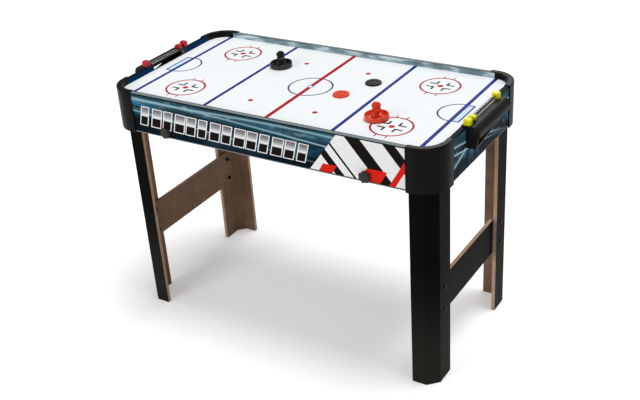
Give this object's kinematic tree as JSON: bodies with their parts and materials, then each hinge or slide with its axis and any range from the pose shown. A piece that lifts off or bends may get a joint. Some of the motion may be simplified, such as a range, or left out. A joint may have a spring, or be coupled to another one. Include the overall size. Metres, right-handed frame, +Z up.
{
  "type": "air hockey table",
  "caption": "Free-standing air hockey table: perforated field, rounded corner mouldings, goal boxes, slide scorers, blower, folded panel legs, strikers and pucks.",
  "frame": {"origin": "on the floor under the middle of the playing field", "axes": "+X along the table towards the goal with the yellow scorer, -Y towards the front apron with the star knobs, +Z up"},
  "size_m": [1.242, 0.612, 0.8458],
  "materials": {
    "field_board": "white laminate with printed rink lines",
    "printed_board": "printed film in icy blue streaks",
    "leg_board": "black film outside, raw board inside",
    "raw_board": "raw fibreboard",
    "black_moulding": "semi-gloss moulding",
    "black_plastic": "satin",
    "grey_plastic": "satin",
    "yellow_plastic": "gloss",
    "red_plastic": "gloss",
    "zinc_steel": "zinc plated",
    "black_steel": "black oxide",
    "brass": "plain",
    "striker_black": "gloss",
    "striker_red": "gloss",
    "felt": "felt",
    "puck_red": "satin",
    "puck_black": "satin"
  },
  "bodies": {
    "table": {"playfield": "field_board", "apron_front": "printed_board", "apron_rear": "printed_board", "apron_left": "printed_board", "apron_right": "printed_board", "corner_front_left": "black_moulding", "corner_front_right": "black_moulding", "corner_rear_left": "black_moulding", "corner_rear_right": "black_moulding", "leg_front_left": "leg_board", "leg_front_right": "leg_board", "leg_rear_left": "leg_board", "leg_rear_right": "leg_board", "brace_left": "leg_board", "brace_right": "leg_board", "leg_bolts": "zinc_steel", "brace_bolts": "black_steel", "brace_washers": "zinc_steel", "brace_nuts": "zinc_steel", "chamber_battens": "raw_board", "chamber_blocks": "raw_board", "chamber_base": "raw_board", "fan_housing": "black_plastic", "fan_motor": "zinc_steel", "fan_guard": "black_plastic", "fan_screws": "zinc_steel", "goal_box_left": "black_moulding", "goal_box_right": "black_moulding", "goal_screws": "zinc_steel", "score_strip_left": "black_plastic", "score_strip_right": "black_plastic", "score_posts_left": "red_plastic", "score_posts_right": "yellow_plastic", "score_rod_left": "zinc_steel", "score_rod_right": "zinc_steel", "knob_inserts": "brass", "switch_bezel": "black_plastic", "power_inlet": "black_plastic"},
    "fan_spinner": {"fan_rotor": "black_plastic", "fan_shaft": "zinc_steel"},
    "marker_left": {"score_marker_left": "red_plastic"},
    "marker_right": {"score_marker_right": "yellow_plastic"},
    "star_knob_left": {"knob_left": "grey_plastic", "knob_stud_left": "zinc_steel"},
    "star_knob_right": {"knob_right": "grey_plastic", "knob_stud_right": "zinc_steel"},
    "rocker": {"power_rocker": "black_plastic"},
    "black_mallet": {"striker_black": "striker_black", "striker_pad_black": "felt"},
    "red_mallet": {"striker_red": "striker_red", "striker_pad_red": "felt"},
    "red_puck": {"puck_red": "puck_red"},
    "black_puck": {"puck_black": "puck_black"}
  },
  "joints": [
    {"name": "fan_spin", "type": "hinge", "parent": "table", "child": "fan_spinner", "pos_m": [0, 0, 0.735], "axis": [0, 0, 1], "continuous": true},
    {"name": "score_slide_left", "type": "slide", "parent": "table", "child": "marker_left", "axis": [0, 1, 0], "range_m": [-0.1525, 0.0105]},
    {"name": "score_slide_right", "type": "slide", "parent": "table", "child": "marker_right", "axis": [0, 1, 0], "range_m": [-0.0105, 0.1525]},
    {"name": "knob_turn_left", "type": "hinge", "parent": "table", "child": "star_knob_left", "pos_m": [-0.356, -0.297, 0.694], "axis": [0, 1, 0], "continuous": true},
    {"name": "knob_turn_right", "type": "hinge", "parent": "table", "child": "star_knob_right", "pos_m": [0.356, -0.297, 0.694], "axis": [0, 1, 0], "continuous": true},
    {"name": "power_switch", "type": "hinge", "parent": "table", "child": "rocker", "pos_m": [-0.38, 0.296, 0.742], "axis": [1, 0, 0], "range_deg": [-8, 8]},
    {"name": "striker_black_glide", "type": "slide", "parent": "table", "child": "black_mallet", "axis": [1, 0, 0], "range_m": [-0.34, 0.14]},
    {"name": "striker_red_glide", "type": "slide", "parent": "table", "child": "red_mallet", "axis": [1, 0, 0], "range_m": [-0.26, 0.215]},
    {"name": "puck_red_glide", "type": "slide", "parent": "table", "child": "red_puck", "axis": [1, 0, 0], "range_m": [-0.65, 0.41]},
    {"name": "puck_black_glide", "type": "slide", "parent": "table", "child": "black_puck", "axis": [1, 0, 0], "range_m": [-0.14, 0.36]}
  ]
}
